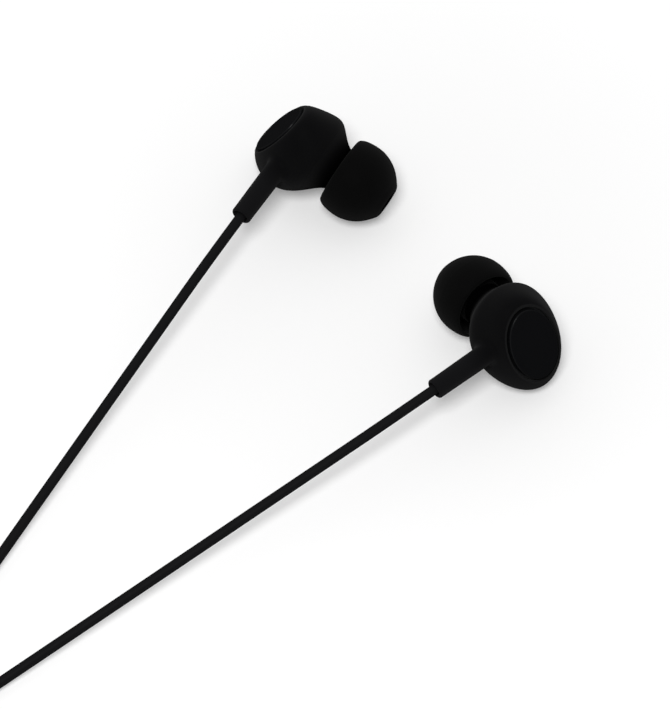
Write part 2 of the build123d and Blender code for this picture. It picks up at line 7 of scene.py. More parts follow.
import bpy
from bpy.props import FloatProperty, FloatVectorProperty, IntProperty, PointerProperty
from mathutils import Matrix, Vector


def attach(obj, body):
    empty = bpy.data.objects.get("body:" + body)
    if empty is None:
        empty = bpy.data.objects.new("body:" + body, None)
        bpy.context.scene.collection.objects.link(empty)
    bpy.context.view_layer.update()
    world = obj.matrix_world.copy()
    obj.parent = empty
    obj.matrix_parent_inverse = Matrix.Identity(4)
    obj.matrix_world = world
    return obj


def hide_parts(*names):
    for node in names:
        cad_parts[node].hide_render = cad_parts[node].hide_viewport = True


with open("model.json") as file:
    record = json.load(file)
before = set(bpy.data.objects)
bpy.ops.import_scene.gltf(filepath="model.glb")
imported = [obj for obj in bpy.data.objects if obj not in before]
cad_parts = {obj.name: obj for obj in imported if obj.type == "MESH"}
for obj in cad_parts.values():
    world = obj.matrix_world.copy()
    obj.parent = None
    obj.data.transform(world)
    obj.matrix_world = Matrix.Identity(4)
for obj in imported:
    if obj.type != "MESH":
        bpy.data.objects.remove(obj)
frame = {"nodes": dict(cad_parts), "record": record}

bl_info = {
    "name": "Wired Earphones",
    "version": (1, 0, 0),
    "blender": (4, 5, 0),
    "location": "3D Viewport > Sidebar > Earphones",
    "description": "Ear tips, cables, finishes and a plain studio for a pair of wired earphones",
    "category": "Object",
}

MM = 0.001
SIDES = ("left", "right")
WHITE = (1.0, 1.0, 1.0)
MOUNTS = {mount["name"]: mount for mount in frame["record"]["mounts"]}
SEAL = MOUNTS["left_ear_seal"]["dims"]
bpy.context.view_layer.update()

# Middle of each stem's mouth, where the cable comes out
MOUTHS = {"left": (-0.024056, 0.006377, 0.009397), "right": (0.005808, -0.025285, 0.009397)}

# Housings
SEAM_TO_SEAL = 5.81 * MM  # from the shells' seam to the tip's widest place, along the nozzle
STEM_ROOT = 9.0 * MM  # from the cap's middle to where the stem leaves the housing
LIP = (-0.07 * MM, -0.02 * MM)  # heights from the rim between which its skin turns smooth
CAP_EDGE = (0.02 * MM, 0.12 * MM)  # depths below the cap's face between which it does

# A wave texture of scale 1 repeats after this many metres
WAVE_SPAN = 0.314


class Coil(NamedTuple):
    """A coil of cable and the strap that ties it, in millimetres.

    Slots are the radii of the turns that lie side by side, from the outside in. Low and high
    are the heights of the two layers. The tie is that many degrees clockwise from the coil's
    front, and its section goes from one radius to another and up to a height.
    """

    centre: tuple
    slots: tuple
    low: float
    high: float
    tie_at: float
    tie_from: float
    tie_to: float
    tie_top: float


BRANCH_COIL = Coil(
    centre=(-88.8, -69.6), slots=(12.6, 10.9, 9.2, 7.5, 5.8), low=0.8, high=2.4,
    tie_at=205, tie_from=4.9, tie_to=13.5, tie_top=3.5,
)
TRUNK_COIL = Coil(
    centre=(-84.6, -21.0), slots=(16.0, 13.9, 11.8, 9.7, 7.6), low=1.0, high=3.0,
    tie_at=20, tie_from=6.5, tie_to=17.1, tie_top=4.3,
)
TIE_LIFT = 0.3  # how far the turns rise where the strap passes under them, in millimetres
TIE_SPREAD = 24  # degrees to either side over which that rise dies away

# Studio, in metres
LAMP_DIRECTION = (-0.094, -0.415, 1.0)
FLOOR_HALF = 3.0
FLOOR_DROP = 0.02 * MM  # keeps the floor clear of faces that lie on it
# Painted light on the floor: for the rays that show it, the floor glows whiter away from the set
PAINTED_LIGHT_CENTRE = (0.002, 0.0, 0.0)  # away from this point the floor is lifted further to white
PAINTED_LIGHT_BAND = (0.02, 0.09)  # distances between which that lift grows
PAINTED_LIGHT_LIFT = 0.08  # what it grows to


# ---------------------------------------------------------------- shader expressions


class Wire:
    """An output socket that takes part in arithmetic. Each operation adds its Math node."""

    def __init__(self, finish, socket):
        self.finish = finish
        self.socket = socket

    def math(self, operation, *values):
        """One Math node on these values or wires."""
        return self.finish.node("Math", {"operation": operation}, dict(enumerate(values)))

    def __add__(self, other):
        return self.math("ADD", self, other)

    def __radd__(self, other):
        return self.math("ADD", other, self)

    def __sub__(self, other):
        return self.math("SUBTRACT", self, other)

    def __rsub__(self, other):
        return self.math("SUBTRACT", other, self)

    def __mul__(self, other):
        return self.math("MULTIPLY", self, other)

    def __rmul__(self, other):
        return self.math("MULTIPLY", other, self)

    def __abs__(self):
        return self.math("ABSOLUTE", self)


class Finish:
    """A node tree under construction, and the one method that adds a node to it."""

    def __init__(self, tree):
        self.tree = tree
        self.tree.nodes.clear()

    def node(self, kind, settings=None, inputs=None, output=0):
        """Adds a shader node: settings first, then the values or links of its sockets."""
        made = self.tree.nodes.new("ShaderNode" + kind)
        for name, value in (settings or {}).items():
            setattr(made, name, value)
        for name, value in (inputs or {}).items():
            socket = made.inputs[name]
            if isinstance(value, Wire):
                self.tree.links.new(value.socket, socket)
            elif socket.type == "RGBA" and len(value) == 3:
                socket.default_value = (*value, 1.0)
            else:
                socket.default_value = value
        return Wire(self, made.outputs[output]) if made.outputs else None

    def place(self):
        """Position on the object, in metres."""
        return self.node("TexCoord", output=3)

    def noise(self, size, detail=2.0, roughness=0.5, stretch=None):
        """Even noise whose features are about that many metres across."""
        where = self.place()
        if stretch:
            where = self.node("VectorMath", {"operation": "MULTIPLY"}, {0: where, 1: stretch})
        inputs = {"Vector": where, "Scale": 1 / size, "Detail": detail, "Roughness": roughness}
        return self.node("TexNoise", None, inputs)

    def tint(self, factor, low, high):
        """A colour between two, by a factor from 0 to 1."""
        settings = {"data_type": "RGBA", "clamp_factor": True}
        return self.node("Mix", settings, {0: factor, 6: low, 7: high}, output=2)

    def measure(self, operation, vector):
        """The number that a vector operation makes of the place on the object and a vector."""
        inputs = {0: self.place(), 1: tuple(vector)}
        return self.node("VectorMath", {"operation": operation}, inputs, output=1)

    def along(self, point, direction):
        """Distance from a point, measured along a direction."""
        return self.measure("DOT_PRODUCT", direction) - point.dot(direction)

    def wave(self, scale, **settings):
        """Regular bands or rings, from 0 to 1."""
        return self.node("TexWave", settings, {"Vector": self.place(), "Scale": scale}, output=1)

    def step(self, value, start, end, low=0.0, high=1.0):
        """Smooth change from low to high while the value goes from start to end."""
        inputs = {0: value, 1: start, 2: end, 3: low, 4: high}
        return self.node("MapRange", {"interpolation_type": "SMOOTHSTEP"}, inputs)

    def bump(self, height, depth, strength=1.0, under=None):
        """A normal from a height of 0 to 1 that stands for that many metres."""
        inputs = {"Height": height, "Distance": depth, "Strength": strength}
        if under is not None:
            inputs["Normal"] = under
        return self.node("Bump", None, inputs)

    def surface(self, gloss=None, painted_shade=None, **sockets):
        """The principled shader and the output; socket names are written with underscores.

        Gloss is the small share of light that a matt skin mirrors softly. The last argument is
        (share, colour) of painted shade: a dark, dead matt finish laid over it.
        """
        named = {name.replace("_", " "): value for name, value in sockets.items()}
        shader = self.node("BsdfPrincipled", None, named)
        if gloss is not None:
            inputs = {"Color": WHITE, "Roughness": named["Roughness"], "Normal": named["Normal"]}
            soft = self.node("BsdfAnisotropic", None, inputs)
            shader = self.node("MixShader", None, {0: gloss, 1: shader, 2: soft})
        # Painted shade: a dark, dead matt finish mixed in by the given share
        if painted_shade is not None:
            inputs = {"Base Color": painted_shade[1], "Roughness": 1.0, "Specular IOR Level": 0.0}
            shade_finish = self.node("BsdfPrincipled", None, inputs)
            shader = self.node("MixShader", None, {0: painted_shade[0], 1: shader, 2: shade_finish})
        self.node("OutputMaterial", None, {"Surface": shader})


def new_finish(name):
    """A material with an empty node tree, and the Finish that fills it."""
    material = bpy.data.materials.new(name)
    material.use_nodes = True
    return material, Finish(material.node_tree)


def shade(colour, factor):
    """A colour made lighter or darker by a plain number."""
    return tuple(min(1.0, channel * factor) for channel in colour)


# ---------------------------------------------------------------- finishes


def moulded(name, colour, roughness, grain, depth, gloss=0.002, velvet=0.0, **details):
    """Spark-grained moulded plastic. Velvet is the soft-touch bloom at glancing angles.

    Each detail starts with (point, direction): seam is the hairline between the shells, neck
    where painted shade starts that turns the front shell dark and matt towards the ear tip,
    stem where the stem starts, painted lighter as a painted highlight, and edge, with a start
    and an end along the direction, where the skin turns smooth.
    """
    material, f = new_finish(name)
    cloud = f.noise(4 * MM, 3.0, 0.6)
    fine = f.noise(grain, 3.0, 0.65)
    body = f.tint(cloud, shade(colour, 0.86), shade(colour, 1.14))
    rough = roughness - 0.05 + 0.07 * cloud + 0.05 * fine
    normal = f.bump(fine, depth, 0.5)
    if "seam" in details:
        line = f.step(abs(f.along(*details["seam"])), 0.01 * MM, 0.09 * MM, 1.0, 0.0)
        body = f.tint(line * 0.3, body, shade(colour, 0.25))
        normal = f.bump(1 - line, 0.03 * MM, 0.4, normal)
    # Painted highlight: from just above its root, the stem is painted twice as light, where light
    # falls on it
    if "stem" in details:
        painted_stem_light = f.step(f.along(*details["stem"]), -3.0 * MM, 2.0 * MM)
        body = f.tint(painted_stem_light, body, shade(colour, 2.0))
    painted_shade = None
    # Painted shade: from the seam, the front shell turns dark and matt over 3 mm towards the ear
    # tip, where the tip shades it
    if "neck" in details:
        painted_shade = (f.step(f.along(*details["neck"]), 0.0, 3.0 * MM), shade(colour, 0.25))
    if "edge" in details:
        point, direction, start, end = details["edge"]
        worn = f.step(f.along(point, direction), start, end)
        gloss = gloss + 0.004 * worn
        rough = rough - 0.15 * worn
    f.surface(
        gloss, painted_shade, Base_Color=body, Roughness=rough, Normal=normal, Specular_IOR_Level=0.0,
        Sheen_Weight=velvet, Sheen_Roughness=0.6,
    )
    return material


def rubber(name, colour, roughness, depth, gloss=0.001, velvet=0.0):
    """Soft moulded rubber with a dusty bloom and a faint skin texture."""
    material, f = new_finish(name)
    bloom = f.noise(2.2 * MM, 4.0, 0.6)
    skin = f.noise(0.12 * MM, 2.0, 0.5)
    dust = f.step(f.noise(0.5 * MM, 5.0, 0.7), 0.58, 0.8)
    body = f.tint(bloom, shade(colour, 0.84), shade(colour, 1.16))
    body = f.tint(dust * 0.12, body, shade(colour, 2.2))
    rough = roughness + 0.08 * bloom + 0.05 * dust
    normal = f.bump(skin, depth, 0.6)
    f.surface(
        gloss, Base_Color=body, Roughness=rough, Normal=normal, Specular_IOR_Level=0.0,
        Sheen_Weight=velvet, Sheen_Roughness=0.6,
    )
    return material


def metal(name, colour, roughness, stretch=(1.0, 1.0, 1.0), coat=0.0):
    """Turned or pressed metal with fine lines and a few darker smudges."""
    material, f = new_finish(name)
    lines = f.noise(0.08 * MM, 3.0, 0.6, stretch)
    smudge = f.step(f.noise(1.5 * MM, 4.0, 0.6), 0.45, 0.75)
    body = f.tint(smudge, colour, shade(colour, 0.8))
    rough = roughness + 0.12 * lines + 0.1 * smudge
    normal = f.bump(lines, 0.006 * MM, 0.35)
    f.surface(Base_Color=body, Metallic=1.0, Roughness=rough, Normal=normal, Coat_Weight=coat)
    return material


def screen(name, colour, pitch):
    """Woven metal screen: round wires both ways, with painted shade in the openings."""
    material, f = new_finish(name)
    across = f.wave(WAVE_SPAN / pitch, wave_type="BANDS", bands_direction="X")
    down = f.wave(WAVE_SPAN / pitch, wave_type="BANDS", bands_direction="Y")
    height = across.math("MAXIMUM", across, down)
    # Painted shade: the openings between the wires are painted near black and not metal
    shaded_opening = f.step(height, 0.35, 0.6, 1.0, 0.0)
    body = f.tint(shaded_opening, colour, (0.004, 0.004, 0.004))
    normal = f.bump(height, 0.06 * MM, 0.8)
    f.surface(Base_Color=body, Metallic=1.0 - shaded_opening, Roughness=0.4 + 0.3 * shaded_opening, Normal=normal)
    return material


def circuit(name, colour, trace):
    """Lacquered terminal board with copper tracks under the lacquer."""
    material, f = new_finish(name)
    scale = 320.0  # rings a millimetre apart
    rings = f.wave(scale, wave_type="RINGS", rings_direction="SPHERICAL")
    track = f.step(rings, 0.55, 0.62)
    weave = f.noise(0.15 * MM, 2.0)
    body = f.tint(track, colour, trace)
    body = f.tint(0.3 * weave, body, shade(colour, 0.6))
    normal = f.bump(0.8 * track + 0.2 * weave, 0.02 * MM, 0.5)
    f.surface(Base_Color=body, Roughness=0.3 + 0.2 * weave, Normal=normal, Coat_Weight=0.4)
    return material


def film(name, colour):
    """Thin drawn polymer film with fine radial ripples and a glossy skin."""
    material, f = new_finish(name)
    ripple = f.noise(0.35 * MM, 2.0, 0.5, (1.0, 1.0, 3.0))
    body = f.tint(ripple, shade(colour, 0.8), shade(colour, 1.2))
    normal = f.bump(ripple, 0.02 * MM, 0.5)
    f.surface(Base_Color=body, Roughness=0.22 + 0.15 * ripple, Normal=normal, Coat_Weight=0.3)
    return material


def wound_wire(name, colour):
    """Enamelled copper winding: close turns with a warm lacquer."""
    material, f = new_finish(name)
    scale = 2400.0  # turns about 0.15 mm apart
    turns = f.wave(scale, wave_type="BANDS", bands_direction="DIAGONAL")
    # Painted shade: the copper is painted darker between the turns
    body = f.tint(turns, shade(colour, 0.45), colour)
    normal = f.bump(turns, 0.03 * MM, 0.7)
    f.surface(
        Base_Color=body, Metallic=0.85, Roughness=0.3 + 0.2 * turns, Normal=normal, Coat_Weight=0.5,
    )
    return material


def webbing(name, colour):
    """Woven hook-and-loop strap."""
    material, f = new_finish(name)
    fuzz = f.noise(0.18 * MM, 4.0, 0.7)
    weave = f.noise(0.5 * MM, 1.0, 0.4, (1.0, 2.5, 1.0))
    body = f.tint(fuzz, shade(colour, 0.6), shade(colour, 1.5))
    normal = f.bump(0.6 * fuzz + 0.4 * weave, 0.12 * MM, 0.9)
    f.surface(
        Base_Color=body, Roughness=0.85 + 0.1 * fuzz, Normal=normal, Specular_IOR_Level=0.1,
        Sheen_Weight=0.05,
    )
    return material


def flat_face(name):
    """Centre and normal of a CAD node's widest face that looks upward."""
    mesh = frame["nodes"][name].data
    upward = [face for face in mesh.polygons if face.normal.z > 0.1]
    widest = max(upward, key=lambda face: face.area)
    return widest.center.copy(), widest.normal.copy()


def dress(nodes, material):
    """Gives CAD nodes a material."""
    for name in nodes:
        piece = frame["nodes"][name]
        piece.data.materials.clear()
        piece.data.materials.append(material)


def both(*names):
    """The same piece of both earbuds."""
    return [f"{side}_{name}" for side in SIDES for name in names]


# ---------------------------------------------------------------- shapes


def eased(share):
    """Smooth start and end for a share from 0 to 1."""
    return share * share * (3 - 2 * share)


def within(value, lowest, highest):
    """A value kept between two others."""
    return max(lowest, min(highest, value))


def flowing(points, start_slope, end_slope, steps=10):
    """Points of one smooth line through the given ones, with given directions at its ends."""
    corners = [Vector((*point, 0.0)) for point in points]
    last = len(corners) - 1
    slopes = []
    for index, corner in enumerate(corners):
        if index == 0:
            slopes.append(Vector((*start_slope, 0.0)).normalized())
        elif index == last:
            slopes.append(Vector((*end_slope, 0.0)).normalized())
        else:
            before = (corner - corners[index - 1]).length
            after = (corners[index + 1] - corner).length
            inward = (corner - corners[index - 1]) / before
            outward = (corners[index + 1] - corner) / after
            slopes.append(((inward * after + outward * before) / (before + after)).normalized())
    line = []
    for index in range(last):
        span = (corners[index + 1] - corners[index]).length
        for step in range(steps):
            t = step / steps
            line.append(
                corners[index] * (2 * t**3 - 3 * t**2 + 1)
                + slopes[index] * span * (t**3 - 2 * t**2 + t)
                + corners[index + 1] * (3 * t**2 - 2 * t**3)
                + slopes[index + 1] * span * (t**3 - t**2)
            )
    line.append(corners[last])
    return [(point.x, point.y) for point in line]


def rounded_edge(corner, start, end, radius, steps=5):
    """Points that round the corner between two straight neighbours."""
    corner, start, end = Vector(corner), Vector(start), Vector(end)
    inward = (start - corner).normalized()
    outward = (end - corner).normalized()
    line = []
    for step in range(steps + 1):
        t = step / steps
        line.append(corner + inward * radius * (1 - t) ** 2 + outward * radius * t**2)
    return [tuple(point) for point in line]


def placed(name, data):
    """A new object in the scene."""
    made = bpy.data.objects.new(name, data)
    bpy.context.scene.collection.objects.link(made)
    return made


def smooth_mesh(name, corners, faces):
    """A mesh with smooth shading."""
    mesh = bpy.data.meshes.new(name)
    mesh.from_pydata(corners, [], faces)
    mesh.validate()
    mesh.polygons.foreach_set("use_smooth", [True] * len(mesh.polygons))
    mesh.update()
    return mesh


def turned(name, profile, origin, axis, segments=96):
    """A piece turned about an axis from a closed profile of (radius, distance along the axis)."""
    axis = Vector(axis).normalized()
    across = axis.orthogonal().normalized()
    other = axis.cross(across)
    corners, faces = [], []
    count = len(profile)
    for turn in range(segments):
        angle = 2 * pi * turn / segments
        spoke = across * cos(angle) + other * sin(angle)
        corners += [origin + axis * along + spoke * radius for radius, along in profile]
        here, following = turn * count, (turn + 1) % segments * count
        for index in range(count):
            after = (index + 1) % count
            faces.append((here + index, following + index, following + after, here + after))
    return placed(name, smooth_mesh(name, corners, faces))


def finish_piece(piece, material, body):
    """Material and body of a new piece."""
    piece.data.materials.append(material)
    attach(piece, body)
    return piece


# ---------------------------------------------------------------- sizes and colours


def length_of(name, description, default):
    """A length property."""
    return FloatProperty(name=name, description=description, default=default, unit="LENGTH")


def angle_of(name, description, degrees):
    """An angle property."""
    return FloatProperty(
        name=name, description=description, default=radians(degrees), subtype="ANGLE",
        unit="ROTATION",
    )


def share_of(name, description, default):
    """A property from 0 to 1."""
    return FloatProperty(
        name=name, description=description, default=default, subtype="FACTOR", min=0.0, max=1.0,
    )


def colour_of(name, description, default):
    """A colour property."""
    return FloatVectorProperty(
        name=name, description=description, default=default, subtype="COLOR", size=3,
        min=0.0, max=1.0,
    )


class TipSizes(bpy.types.PropertyGroup):
    """Sizes of the silicone ear tips."""

    length: length_of("Length", "Length of the tip along the nozzle", SEAL["length_mm"] * MM)
    widest: length_of("Widest Radius", "Radius where the dome is widest", SEAL["r_mm"] * MM)
    widest_at: length_of("Widest At", "From the open rim to the widest place", 2.5 * MM)
    rim: length_of("Rim Radius", "Radius of the open rim", 5.65 * MM)
    front: length_of("Front Radius", "Radius of the flat front", 2.4 * MM)
    skin: length_of("Skin", "Thickness of the dome", 0.55 * MM)
    bore: length_of("Sound Bore", "Radius of the sound opening in the front", 1.85 * MM)
    grip: length_of("Grip Radius", "Inner radius of the sleeve on the nozzle", 2.86 * MM)
    sleeve: length_of("Sleeve Wall", "Wall of the sleeve", 0.85 * MM)
    mould_line: length_of("Mould Line", "How far the parting line stands out", 0.05 * MM)
    mould_line_at: length_of("Mould Line At", "From the open rim to the parting line", 4.1 * MM)


class CableSizes(bpy.types.PropertyGroup):
    """Sizes of the cables and their ties."""

    branch: length_of("Branch Diameter", "Diameter of each cable to an earbud", 1.6 * MM)
    trunk: length_of("Trunk Diameter", "Diameter of the cable to the plug", 2.0 * MM)
    branch_length: length_of("Branch Length", "Length of each cable to an earbud", 0.365)
    trunk_length: length_of("Trunk Length", "Length from the splitter to the plug", 0.71)
    points_per_turn: IntProperty(
        name="Points per Turn", description="Control points in each turn of a coil",
        default=18, min=12, max=36,
    )
    tie_width: length_of("Tie Width", "Width of the strap round each coil", 4.0 * MM)
    tie_thickness: length_of("Tie Thickness", "Thickness of the strap", 0.3 * MM)


class Colours(bpy.types.PropertyGroup):
    """Colours of the finishes."""

    housing: colour_of("Housing", "Soft-touch plastic of the shells", (0.003, 0.003, 0.0033))
    cap: colour_of("Cap", "Satin plastic of the caps", (0.003, 0.0031, 0.0036))
    silicone: colour_of("Silicone", "Silicone of the ear tips", (0.0024, 0.0024, 0.0024))
    cable: colour_of("Cable", "Jacket of the cables", (0.0068, 0.0068, 0.0074))
    sleeve: colour_of("Sleeve", "Soft sleeve in each stem and the plug's boot", (0.008,) * 3)
    steel: colour_of("Steel", "Yoke, pole plate, grille and crimp", (0.56, 0.56, 0.55))
    nickel: colour_of("Nickel", "Plating of the magnet", (0.63, 0.61, 0.57))
    copper: colour_of("Copper", "Voice coil", (0.86, 0.42, 0.2))
    gold: colour_of("Gold", "Contacts of the plug", (0.95, 0.68, 0.3))
    lead: colour_of("Lead Wire", "Insulation of the two inner wires", (0.5, 0.03, 0.02))
    board: colour_of("Board", "Lacquer of the terminal board", (0.012, 0.07, 0.03))
    strap: colour_of("Strap", "Strap round each coil", (0.012, 0.012, 0.013))


class Studio(bpy.types.PropertyGroup):
    """Camera and light."""

    elevation: angle_of("Elevation", "Angle of the camera above the floor", 58)
    distance: length_of("Distance", "From the camera to the point it looks at", 0.9)
    aim: FloatVectorProperty(
        name="Aim", description="Point on the floor that the camera looks at",
        default=(-9.33 * MM, -13.05 * MM, 0.0), subtype="TRANSLATION", unit="LENGTH",
    )
    lens: FloatProperty(name="Lens", description="Focal length in millimetres", default=294.3)
    sky: share_of("Sky", "Share of the light that comes from all round", 0.42)
    lamp_spread: angle_of("Lamp Spread", "Half angle of the lamp as the object sees it", 10)
    lamp_distance: length_of("Lamp Distance", "From the lamp to the camera's aim", 1.2)
    glow: share_of("Floor Glow", "How far the floor is lifted towards white", 0.26)
    paper: share_of("Paper", "Lightness of the floor's paper", 0.74)


# ---------------------------------------------------------------- operators


class EARPHONES_OT_housings(bpy.types.Operator):
    """Finish the shells, stems and caps"""

    bl_idname = "earphones.housings"
    bl_label = "Housings"

    def execute(self, context):
        colours = context.scene.earphone_colours
        for side in SIDES:
            seal = MOUNTS[f"{side}_ear_seal"]
            axis = Vector(seal["axis"])
            seam = Vector(seal["pos_m"]) - axis * SEAM_TO_SEAL
            centre, outward = flat_face(f"{side}_cap")
            downward = (Vector(MOUTHS[side]) - centre).normalized()
            root = centre + downward * STEM_ROOT
            shell = frame["nodes"][f"{side}_rear_shell"].data
            rim = centre + outward * max(
                (corner.co - centre).dot(outward) for corner in shell.vertices
            )
            skin = {"roughness": 0.5, "grain": 0.09 * MM, "depth": 0.012 * MM, "gloss": 0.0004}
            skin |= {"velvet": 0.03, "seam": (seam, axis)}
            # The rear shell's stem is painted lighter, as a painted highlight
            rear = moulded(
                f"soft_touch_{side}", colours.housing, stem=(root, downward),
                edge=(rim, outward, *LIP), **skin,
            )
            dress([f"{side}_rear_shell"], rear)
            # The front shell is painted dark and matt towards the ear tip, as painted shade
            front = moulded(
                f"soft_touch_front_{side}", colours.housing, neck=(seam, axis), **skin,
            )
            dress([f"{side}_front_shell"], front)
            cap = moulded(
                f"satin_cap_{side}", colours.cap, roughness=0.42, grain=0.07 * MM,
                depth=0.008 * MM, gloss=0.0015, velvet=0.004,
                edge=(centre, -outward, *CAP_EDGE),
            )
            dress([f"{side}_cap"], cap)
        return {"FINISHED"}


class EARPHONES_OT_ear_tips(bpy.types.Operator):
    """Turn the silicone ear tips with their sleeves, mould lines and rounded rims"""

    bl_idname = "earphones.ear_tips"
    bl_label = "Ear Tips"

    def profile(self, sizes):
        """Closed outline of half the tip: radius, and distance from the open rim."""
        shoulder = (5.86 * MM, 5.45 * MM)
        crown = (3.79 * MM, 8.22 * MM)
        web = 5.85 * MM
        sleeve = sizes.grip + sizes.sleeve
        sleeve_mouth, sleeve_root = 1.25 * MM, 6.4 * MM
        inner_shoulder = (shoulder[0] - sizes.skin, 4.7 * MM)
        line_width = 0.1 * MM
        rim_rounding, front_rounding = 0.12 * MM, 0.25 * MM
        grip_rounding, sleeve_rounding = 0.15 * MM, 0.2 * MM
        inner_rim = sizes.rim - sizes.skin
        outer = [(sizes.rim, rim_rounding), (sizes.widest, sizes.widest_at), shoulder, crown]
        outer.append((sizes.front, sizes.length))
        line = []
        for radius, along in flowing(outer, (0.62, 0.78), (-1.0, 0.12), steps=14):
            away = (along - sizes.mould_line_at) / line_width
            line.append((radius + sizes.mould_line * exp(-away * away), along))
        line += rounded_edge(
            (sizes.bore, sizes.length), (sizes.front, sizes.length), (sizes.bore, web),
            front_rounding,
        )
        line += [(sizes.bore, web), (sizes.grip, web)]
        line += rounded_edge(
            (sizes.grip, sleeve_mouth), (sizes.grip, web), (sleeve, sleeve_mouth), grip_rounding
        )
        line += rounded_edge(
            (sleeve, sleeve_mouth), (sizes.grip, sleeve_mouth), (sleeve, sleeve_root),
            sleeve_rounding,
        )
        inner = [(sleeve, sleeve_root), inner_shoulder]
        inner += [(sizes.widest - sizes.skin, sizes.widest_at)]
        inner += [(inner_rim + rim_rounding, rim_rounding)]
        line += flowing(inner, (0.8, 0.9), (-0.45, -0.9), steps=8)
        line += rounded_edge(
            (sizes.rim - sizes.skin / 2, 0.0), (inner_rim, 0.0), (sizes.rim, 0.0), rim_rounding
        )
        return line

    def execute(self, context):
        sizes = context.scene.earphone_tips
        silicone = rubber(
            "silicone", context.scene.earphone_colours.silicone, roughness=0.5,
            depth=0.01 * MM, gloss=0.0003, velvet=0.022,
        )
        outline = self.profile(sizes)
        for side in SIDES:
            seal = MOUNTS[f"{side}_ear_seal"]
            axis = Vector(seal["axis"])
            start = Vector(seal["pos_m"]) - axis * sizes.widest_at
            tip = turned(f"{side}_silicone_tip", outline, start, axis)
            finish_piece(tip, silicone, f"{side}_tip")
            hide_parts(f"{side}_ear_tip")
        return {"FINISHED"}


class EARPHONES_OT_drivers(bpy.types.Operator):
    """Finish the nozzle screens and everything sealed inside the housings"""

    bl_idname = "earphones.drivers"
    bl_label = "Drivers"

    def execute(self, context):
        colours = context.scene.earphone_colours
        steel = metal("pressed_steel", colours.steel, roughness=0.3)
        dress(both("driver_grille", "driver_yoke", "driver_pole_plate"), steel)
        crimp = metal(
            "crimped_steel", shade(colours.steel, 0.9), roughness=0.38, stretch=(1.0, 4.0, 1.0)
        )
        dress(both("cable_crimp"), crimp)
        nickel = metal("nickel_plating", colours.nickel, roughness=0.2, coat=0.1)
        dress(both("driver_magnet"), nickel)
        mesh = screen("woven_screen", (0.3, 0.3, 0.3), pitch=0.18 * MM)
        dress(both("nozzle_mesh"), mesh)
        dress(both("voice_coil"), wound_wire("coil_winding", colours.copper))
        dress(both("diaphragm"), film("drawn_film", (0.16, 0.13, 0.09)))
        basket = moulded(
            "basket", (0.02, 0.02, 0.022), roughness=0.5, grain=0.1 * MM, depth=0.01 * MM
        )
        dress(both("driver_frame"), basket)
        board = circuit("lacquered_board", colours.board, trace=(0.6, 0.32, 0.14))
        dress(both("terminal_board"), board)
        insulation = rubber(
            "wire_insulation", colours.lead, roughness=0.4, depth=0.008 * MM, gloss=0.02
        )
        dress(both("lead_wires"), insulation)
        return {"FINISHED"}


